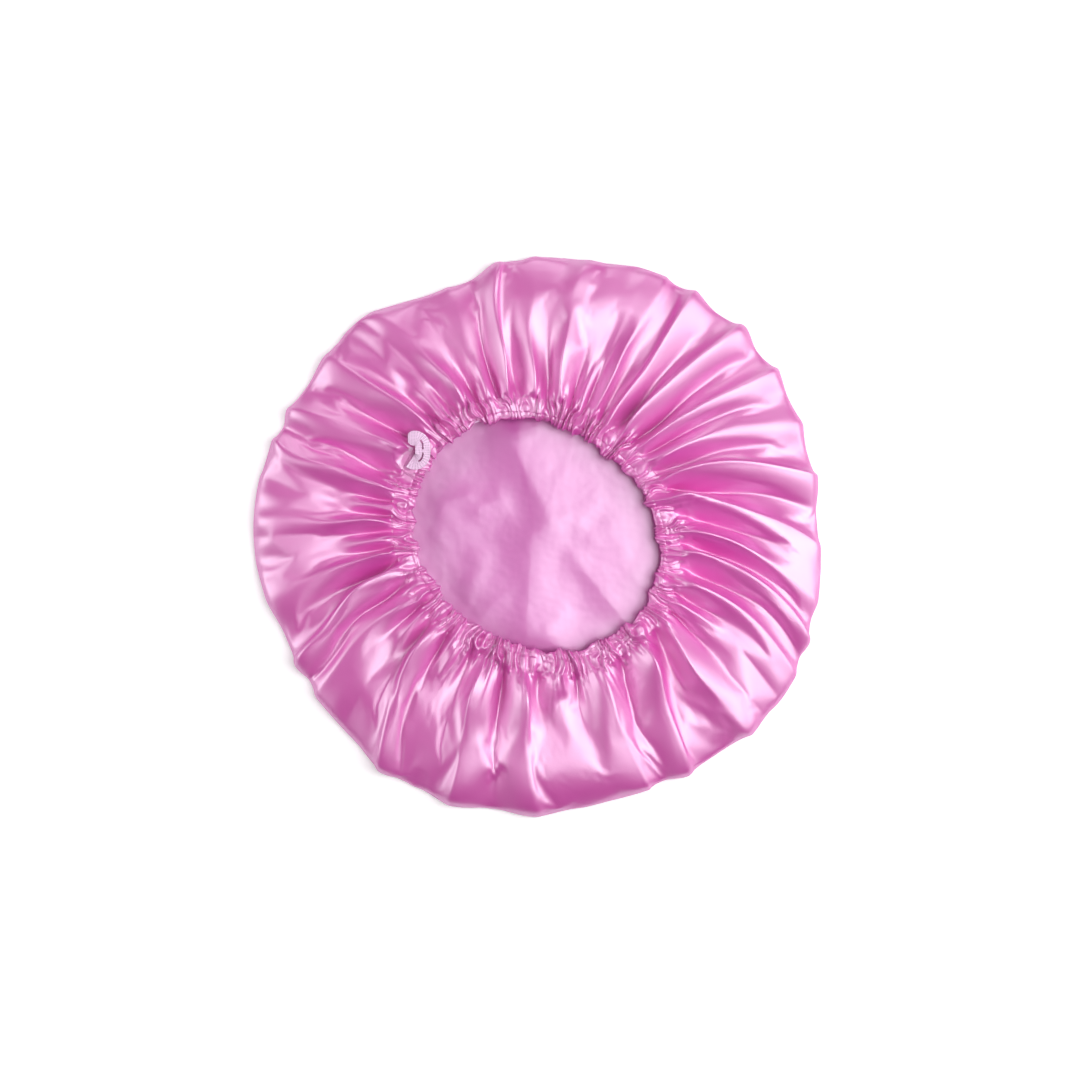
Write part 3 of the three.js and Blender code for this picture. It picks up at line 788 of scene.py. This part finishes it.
def knit_finish(name, colour):
    """Elastic with rows of small dark dots between its ribs."""
    material, tree, shader = finish_nodes(name)
    flat = tree.nodes.new("ShaderNodeUVMap")
    flat.uv_map = "grain"
    bands = []
    for direction, pitch in (("X", KNIT_PITCH), ("Y", ELASTIC_WIDTH / RIB_COUNT)):
        band = add_node(tree, "ShaderNodeTexWave", Scale=TURN / WAVE_RADIANS / pitch)
        band.bands_direction = direction
        tree.links.new(flat.outputs["UV"], band.inputs["Vector"])
        bands.append(band.outputs["Fac"])
    dots = math_of(tree, "MAXIMUM", *bands)
    tinted(tree, shader, dots, KNIT_SHADE, colour)
    set_inputs(shader, Roughness=0.75)
    bumped(tree, shader, dots, 0.5, 0.0002)
    return material


def give(piece, material):
    piece.data.materials.clear()
    piece.data.materials.append(material)


def settled_grid(bm, rows, sizes):
    """The satin's places as a grid of rings and columns, laid along the folds and then settled."""
    mesh = bpy.data.meshes.new("laid cloth")
    bm.to_mesh(mesh)
    row, angle = disc_rows(mesh, rows)
    ring = np.round(row).astype(int)
    places = cloth_shape(row, angle, sizes)
    valley = FoldField(angle).to_valley ** VALLEY_NARROWNESS
    held = blend_between(CREST_HOLD, VALLEY_HOLD, valley)
    held += RIM_HOLD * smooth_step((ring - SIDE_ROWS + RIM_ROWS) / (RIM_ROWS - 2))
    held = np.round(held, 2)
    held[(ring <= HELD_ROWS) | (ring >= SIDE_ROWS - 1)] = 1.0
    places = relax(mesh, places, cut_shape(places, row, angle), held)
    bpy.data.meshes.remove(mesh)
    grid = np.empty((rows + 1, COLUMNS, 3))
    grid[ring, nearest_column(angle, COLUMNS)] = places
    grid[rows] = places[ring == rows].mean(axis=0)
    return grid


def lining_shape(row, angle, grid, sizes):
    """Places of the lining on the inner side of the satin's grid, for rows counted from the casing."""
    side = row <= LINING_SIDE_ROWS
    crown_row = SIDE_ROWS + (row - LINING_SIDE_ROWS) / LINING_CROWN_ROWS * CROWN_ROWS
    side_row = HELD_ROWS + row / LINING_SIDE_ROWS * (SIDE_ROWS - HELD_ROWS)
    outer_row = np.where(side, side_row, crown_row)
    column = nearest_column(angle, COLUMNS)
    above = np.minimum(np.floor(outer_row).astype(int), SIDE_ROWS + CROWN_ROWS - 1)
    part = (outer_row - above)[:, None]
    places = blend_between(grid[above, column], grid[above + 1, column], part)
    spread = np.hypot(places[:, 0], places[:, 1])
    drawn_in = np.maximum(1 - sizes.layer_gap / np.maximum(spread, LEAST_DRAWN_RADIUS), 0)
    places[:, :2] *= np.where(row > LINING_SIDE_ROWS * DRAWN_IN_FROM, drawn_in, 1)[:, None]
    creased = LINING_LEVEL + crease_height(places[:, 0], places[:, 1])
    past_creases = smooth_step((spread - CREASE_END_RADIUS) / CREASE_END_RUN)
    bottom = blend_between(creased, LINING_LEVEL, past_creases)
    near_casing = row < LINING_SIDE_ROWS / 2
    places[near_casing] = pleated(places[near_casing], sizes)
    places[:, 2] -= LINING_HEM_DROP * (1 - smooth_step(row / LINING_HEM_ROWS))
    places[:, 2] = np.where(side, np.maximum(places[:, 2] - sizes.layer_gap, LINING_LEVEL), bottom)
    return places


class BONNET_OT_satin(bpy.types.Operator):
    """Makes the gathered outer satin and the lining inside it"""

    bl_idname = "bonnet.satin"
    bl_label = "Satin and lining"

    def execute(self, context):
        sizes = context.scene.bonnet_sizes
        colours = context.scene.bonnet_colours
        rows = SIDE_ROWS + CROWN_ROWS
        bm = spun_disc(rows, COLUMNS)
        grid = settled_grid(bm, rows, sizes)
        bmesh.ops.subdivide_edges(bm, edges=bm.edges, cuts=1, use_grid_fill=True)
        piece = new_piece("satin_outer", bm, "cap", "outer_shell")
        row, angle = disc_rows(piece.data, rows)
        ring = np.round(2 * row).astype(int)
        fine = halved(grid)
        fine[:SIDE_ROWS] = pleated(fine[:SIDE_ROWS], sizes)
        fine[0, :, 2] -= HEM_DIP
        place_vertices(piece.data, fine[ring, nearest_column(angle, 2 * COLUMNS)])
        cloth_grain(piece.data, ring / 2, angle, rows)
        turn_outwards(piece.data, int(np.argmin(np.abs(row - SIDE_ROWS / 2))))
        give(piece, satin_finish("pink satin", colours.satin, *OUTER_SATIN))

        rows = LINING_SIDE_ROWS + LINING_CROWN_ROWS
        bm = spun_disc(rows, COLUMNS)
        lining = new_piece("satin_lining", bm, "cap", "lining")
        row, angle = disc_rows(lining.data, rows)
        row = np.round(row)
        place_vertices(lining.data, lining_shape(row, angle, grid, sizes))
        cloth_grain(lining.data, row, angle, rows)
        turn_outwards(lining.data, int(np.argmin(np.abs(row - LINING_SIDE_ROWS / 2))))
        give(lining, satin_finish("lining satin", colours.lining, *LINING_SATIN))
        return {"FINISHED"}


def casing_surface(angle, turn, sizes):
    """Places on the casing's skin. The turn goes round its section, from its inner edge over its top."""
    across = 0.5 - 0.5 * signed_power(np.cos(turn), WIDTH_POWER)
    thick = signed_power(np.sin(turn), HEIGHT_POWER)
    pleat = PLEATS.height(angle, across)
    pinch = sum(np.exp(-(((across - row) / ROW_WIDTH) ** 2)) for row in (EDGE_ROW, SEAM_ROW))
    half = CASING_HALF_THICKNESS - ROW_PINCH * pinch
    covered = smooth_step((across - HEM_ACROSS) / COVER_RUN) * (thick > 0)
    drawn = (1 - ROW_FLATTENING * pinch) * (1 - COVER_FLATTENING * covered)
    drawn = drawn * np.where(thick > 0, 1, UNDERSIDE_PLEAT_SHARE)
    rise = half * (1 - COVER_THINNING * covered) + sizes.pleat_height * drawn * pleat
    level = CASING_LEVEL + thick * rise
    inner = 1 - smooth_step(across / SCALLOP_RUN)
    scallop = (SCALLOP * pleat + EDGE_WANDER * PLEATS.drift(angle, 2)) * inner
    radius = opening_edge(angle) + CASING_WIDTH * across - scallop
    angle = angle + TIP_HOOK * PLEATS.hook(angle, across) * np.maximum(thick, 0) / radius
    return polar(radius, angle, level)


class BONNET_OT_casing(bpy.types.Operator):
    """Makes the ruched casing"""

    bl_idname = "bonnet.casing"
    bl_label = "Casing"

    def execute(self, context):
        sizes = context.scene.bonnet_sizes
        bm = bmesh.new()
        section = bmesh.ops.create_circle(bm, segments=CASING_SECTION, radius=1, cap_ends=False)["verts"]
        upright = Matrix.Rotation(math.pi / 2, 3, "X")
        bmesh.ops.rotate(bm, verts=section, cent=(0, 0, 0), matrix=upright)
        bmesh.ops.translate(bm, verts=section, vec=(CASING_SPIN_RADIUS, 0, 0))
        bmesh.ops.spin(
            bm, geom=bm.verts[:] + bm.edges[:], cent=(0, 0, 0), axis=(0, 0, 1), angle=TURN,
            steps=CASING_COLUMNS, use_merge=True,
        )
        piece = new_piece("casing", bm, "cap", "elastic_casing")
        start = coordinates(piece.data)
        angle = np.arctan2(start[:, 1], start[:, 0])
        turn = np.arctan2(start[:, 2], CASING_SPIN_RADIUS - np.hypot(start[:, 0], start[:, 1]))
        place_vertices(piece.data, casing_surface(angle, turn, sizes))
        turn_outwards(piece.data, int(np.argmax(start[:, 2])))
        grain_map(piece.data, np.stack([angle, turn], axis=1) * CASING_GRAIN)
        give(piece, satin_finish("casing satin", context.scene.bonnet_colours.satin, *OUTER_SATIN))
        return {"FINISHED"}


def add_stitch(bm, start, end):
    """A short length of thread between two points, with rounded ends."""
    start = Vector(start)
    end = Vector(end)
    made = bmesh.ops.create_uvsphere(
        bm, u_segments=STITCH_SIDES, v_segments=STITCH_BANDS, radius=STITCH_RADIUS
    )["verts"]
    half = (end - start).length / 2
    for vertex in made:
        vertex.co.z += math.copysign(half, vertex.co.z)
    turn = (end - start).to_track_quat("Z", "Y").to_matrix().to_4x4()
    bmesh.ops.transform(bm, matrix=Matrix.Translation((start + end) / 2) @ turn, verts=made)


class BONNET_OT_stitches(bpy.types.Operator):
    """Makes the two rows of stitches round the casing"""

    bl_idname = "bonnet.stitches"
    bl_label = "Stitches"

    def execute(self, context):
        sizes = context.scene.bonnet_sizes
        thread = plain_finish("sewing thread", context.scene.bonnet_colours.thread, 0.5)
        satin = bpy.data.objects["satin_outer"]
        rows = (
            ("stitches_seam", SEAM_ROW, "casing_seam_thread"),
            ("stitches_edge", EDGE_ROW, "edge_seam_thread"),
        )
        for name, across, node in rows:
            bm = bmesh.new()
            turn = math.acos(signed_power(1 - 2 * across, 1 / WIDTH_POWER))
            radius = OPENING_RADIUS + CASING_WIDTH * across
            count = round(TURN * radius / sizes.stitch_length)
            for i in range(count):
                angles = np.array([i - STITCH_HALF_SHARE, i, i + STITCH_HALF_SHARE]) / count * TURN
                places = casing_surface(angles, np.full(3, turn), sizes)
                if across > HEM_ACROSS:
                    for place in places:
                        above = (place[0], place[1], ABOVE_CAP)
                        found, hit, _, _ = satin.ray_cast(above, (0, 0, -1))
                        place[2] = hit.z if found else place[2]
                for end in (0, 2):
                    places[end, 2] = min(places[end, 2], places[1, 2]) + STITCH_RISE
                add_stitch(bm, places[0], places[2])
            give(new_piece(name, bm, "cap", node), thread)
        return {"FINISHED"}


def loop_route(along):
    """The loop's route seen from above, which way its right-hand side faces, and its whole length."""
    first_bend = LOOP_BEND * (1.5 * math.pi - SLIT_ANGLE)
    second_bend = LOOP_BEND * math.pi / 2
    centre_x = SLIT_PLACE[0] + LOOP_BEND * math.sin(SLIT_ANGLE)
    centre_y = SLIT_PLACE[1] - LOOP_BEND * math.cos(SLIT_ANGLE)
    run = along - first_bend
    facing = np.where(run < 0, run / LOOP_BEND, np.clip((run - LOOP_RUN) / LOOP_BEND, 0, math.pi / 2))
    tail = np.maximum(run - LOOP_RUN - second_bend, 0)
    straight = np.clip(run, 0, LOOP_RUN)
    x = centre_x + LOOP_BEND * np.cos(facing) - tail
    y = centre_y + LOOP_BEND * np.sin(facing) + straight
    return x, y, facing, first_bend + LOOP_RUN + second_bend + LOOP_TAIL


def loop_place(along, across, lift):
    """Places on the loop at a length along it, a width across it and a lift off its underside."""
    x, y, facing, length = loop_route(along)
    share = np.clip(along / length, 0, 1)
    ending = np.clip((along - length) / END_ROUNDING + 1, 0, 1)
    across = across * np.sqrt(1 - END_NARROWING * ending**2)
    arch = LOOP_RISE * np.sin(math.pi * share) + LOOP_END_RISE * share**2
    droop = LOOP_TILT * across / (ELASTIC_WIDTH / 2) * np.sin(math.pi * share)
    level = LOOP_LEVEL + arch - droop + lift
    return np.stack([x + across * np.cos(facing), y + across * np.sin(facing), level], axis=1)


def strap_sheet(length, long_steps, wide_steps):
    """A flat strap along X, its width along Y, with the middle of its start at the origin."""
    bm = bmesh.new()
    bmesh.ops.create_grid(bm, x_segments=long_steps, y_segments=wide_steps, size=0.5)
    bmesh.ops.translate(bm, verts=bm.verts, vec=(0.5, 0, 0))
    bmesh.ops.scale(bm, verts=bm.verts, vec=(length, ELASTIC_WIDTH, 1))
    return bm


def thicken(bm):
    bmesh.ops.solidify(bm, geom=bm.faces, thickness=-ELASTIC_THICKNESS)
    bmesh.ops.recalc_face_normals(bm, faces=bm.faces)


def strap_lines(mesh):
    """A strap's flat places, its middle level, and a wave that rises on its ribs."""
    flat = coordinates(mesh)
    middle = (flat[:, 2].min() + flat[:, 2].max()) / 2
    return flat, middle, np.cos(flat[:, 1] / ELASTIC_WIDTH * RIB_COUNT * TURN)


class BONNET_OT_elastic(bpy.types.Operator):
    """Makes the elastic's loop with its two slots, and the stem that it is pulled by"""

    bl_idname = "bonnet.elastic"
    bl_label = "Buttonhole elastic"

    def execute(self, context):
        elastic = knit_finish("knitted elastic", context.scene.bonnet_colours.elastic)
        length = loop_route(np.zeros(1))[3] + ELASTIC_THICKNESS / 2
        bm = strap_sheet(length, *LOOP_STEPS)
        bar = LOOP_BEND * (1.5 * math.pi - SLIT_ANGLE) + ELASTIC_THICKNESS / 2 + SLOT_SPACING
        starts = (bar - SLOT_SPACING / 2 - SLOT_LENGTH, bar + SLOT_SPACING / 2)
        cut = []
        for face in bm.faces:
            centre = face.calc_center_median()
            in_slot = any(start < centre.x < start + SLOT_LENGTH for start in starts)
            if in_slot and abs(centre.y) < SLOT_WIDTH * SLOT_CUT_SHARE:
                cut.append(face)
        bmesh.ops.delete(bm, geom=cut, context="FACES")
        thicken(bm)
        piece = new_piece("elastic_loop", bm, "pull_loop", "adjuster_loop")
        flat, middle, rib = strap_lines(piece.data)
        knit = np.cos(flat[:, 0] / KNIT_PITCH * math.pi + np.where(rib > 0, 0, math.pi))
        weave = WEAVE_DEPTH * (rib + KNIT_SHARE * knit)
        lift = np.where(flat[:, 2] > middle, ELASTIC_THICKNESS + weave, -weave * UNDER_WEAVE_SHARE)
        grain_map(piece.data, flat[:, :2])
        place_vertices(piece.data, loop_place(flat[:, 0] - ELASTIC_THICKNESS / 2, flat[:, 1], lift))
        give(piece, elastic)

        low, high = STEM_LEVELS
        bm = strap_sheet(high - low, *STEM_STEPS)
        thicken(bm)
        stem = new_piece("elastic_stem", bm, None, "adjuster_stem")
        flat, middle, rib = strap_lines(stem.data)
        out = (flat[:, 2] - middle) * (1 + STEM_RIB_SHARE * rib)
        across = np.array([-math.sin(SLIT_ANGLE), math.cos(SLIT_ANGLE)])
        outward = np.array([math.cos(SLIT_ANGLE), math.sin(SLIT_ANGLE)])
        plan = np.array(SLIT_PLACE) + flat[:, 1:2] * across + out[:, None] * outward
        grain_map(stem.data, flat[:, :2])
        place_vertices(stem.data, np.column_stack([plan, low + flat[:, 0]]))
        give(stem, elastic)
        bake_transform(stem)
        return {"FINISHED"}


class BONNET_OT_carried(bpy.types.Operator):
    """Finishes the CAD pieces that stay as they are"""

    bl_idname = "bonnet.carried"
    bl_label = "Button, threads and elastic band"

    def execute(self, context):
        colours = context.scene.bonnet_colours
        finishes = (
            ("adjuster_button", plain_finish("button resin", colours.button, 0.25, 200.0, 0.05)),
            ("button_thread", plain_finish("button thread", colours.thread, 0.6)),
            ("elastic_band", plain_finish("band elastic", colours.elastic, 0.8, 1500.0, 0.4)),
            ("slit_binding", plain_finish("binding thread", colours.thread, 0.6)),
            ("band_end_tack", plain_finish("tack thread", colours.thread, 0.6)),
        )
        for name, material in finishes:
            give(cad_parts[name], material)
        return {"FINISHED"}


def table_finish():
    """White table that glows only where the camera or a reflection sees it, more so further out."""
    material, tree, shader = finish_nodes("white table")
    set_inputs(shader, Base_Color=(*TABLE_GREY, 1), Roughness=0.9)
    rays = tree.nodes.new("ShaderNodeLightPath")
    seen = rays.outputs["Is Camera Ray"]
    for kind in ("Is Glossy Ray", "Is Transmission Ray"):
        seen = math_of(tree, "MAXIMUM", seen, rays.outputs[kind])
    where = tree.nodes.new("ShaderNodeTexCoord")
    away = tree.nodes.new("ShaderNodeVectorMath")
    away.operation = "LENGTH"
    tree.links.new(where.outputs["Object"], away.inputs[0])
    growing = add_node(
        tree, "ShaderNodeMapRange", From_Min=GLOW_DISTANCES[0], From_Max=GLOW_DISTANCES[1],
        To_Min=GLOW_STRENGTHS[0], To_Max=GLOW_STRENGTHS[1],
    )
    tree.links.new(away.outputs["Value"], growing.inputs["Value"])
    glow = tree.nodes.new("ShaderNodeEmission")
    strength = math_of(tree, "MULTIPLY", seen, growing.outputs["Result"])
    tree.links.new(strength, glow.inputs["Strength"])
    both = tree.nodes.new("ShaderNodeAddShader")
    tree.links.new(glow.outputs[0], both.inputs[0])
    tree.links.new(shader.outputs[0], both.inputs[1])
    tree.links.new(both.outputs[0], tree.nodes["Material Output"].inputs["Surface"])
    return material


class BONNET_OT_stage(bpy.types.Operator):
    """Sets the floor, the lamps and the camera"""

    bl_idname = "bonnet.stage"
    bl_label = "Stage"

    def execute(self, context):
        scene = context.scene
        bm = bmesh.new()
        bmesh.ops.create_grid(bm, x_segments=1, y_segments=1, size=FLOOR_REACH)
        floor = linked_object("floor", bm)
        give(floor, table_finish())
        world = bpy.data.worlds.new("soft studio")
        world.use_nodes = True
        background = world.node_tree.nodes["Background"]
        set_inputs(background, Color=(1, 1, 1, 1), Strength=WORLD_STRENGTH)
        scene.world = world
        for name, place, size, power in LAMPS:
            lamp = bpy.data.lights.new(name, "AREA")
            lamp.shape = "SQUARE"
            lamp.size = size
            lamp.energy = power
            holder = bpy.data.objects.new(name, lamp)
            scene.collection.objects.link(holder)
            holder.location = place
            holder.rotation_euler = (-Vector(place)).to_track_quat("-Z", "Y").to_euler()
        view = bpy.data.cameras.new("camera")
        camera = bpy.data.objects.new("camera", view)
        scene.collection.objects.link(camera)
        view.lens = view.sensor_width * CAMERA_HEIGHT / (PHOTO_PIXELS * METRES_PER_PIXEL)
        middle = PHOTO_PIXELS / 2
        camera.location = (
            (middle - CAP_CENTRE_PIXELS[0]) * METRES_PER_PIXEL,
            (CAP_CENTRE_PIXELS[1] - middle) * METRES_PER_PIXEL,
            CAMERA_HEIGHT,
        )
        scene.camera = camera
        scene.view_settings.view_transform = "Standard"
        return {"FINISHED"}


STEPS = (
    BONNET_OT_satin,
    BONNET_OT_casing,
    BONNET_OT_stitches,
    BONNET_OT_elastic,
    BONNET_OT_carried,
    BONNET_OT_stage,
)


class BONNET_PT_panel(bpy.types.Panel):
    bl_label = "Bonnet"
    bl_idname = "BONNET_PT_panel"
    bl_space_type = "VIEW_3D"
    bl_region_type = "UI"
    bl_category = "Bonnet"

    def draw(self, context):
        for step in STEPS:
            self.layout.operator(step.bl_idname)
        for group in (context.scene.bonnet_sizes, context.scene.bonnet_colours):
            for key in group.__annotations__:
                self.layout.prop(group, key)


CLASSES = (BonnetSizes, BonnetColours, *STEPS, BONNET_PT_panel)


def register():
    for item in CLASSES:
        bpy.utils.register_class(item)
    bpy.types.Scene.bonnet_sizes = PointerProperty(type=BonnetSizes)
    bpy.types.Scene.bonnet_colours = PointerProperty(type=BonnetColours)


def unregister():
    del bpy.types.Scene.bonnet_colours
    del bpy.types.Scene.bonnet_sizes
    for item in reversed(CLASSES):
        bpy.utils.unregister_class(item)


def main():
    register()
    bpy.ops.bonnet.satin()
    bpy.ops.bonnet.casing()
    bpy.ops.bonnet.stitches()
    bpy.ops.bonnet.elastic()
    bpy.ops.bonnet.carried()
    bpy.ops.bonnet.stage()


if __name__ == "__main__":
    main()
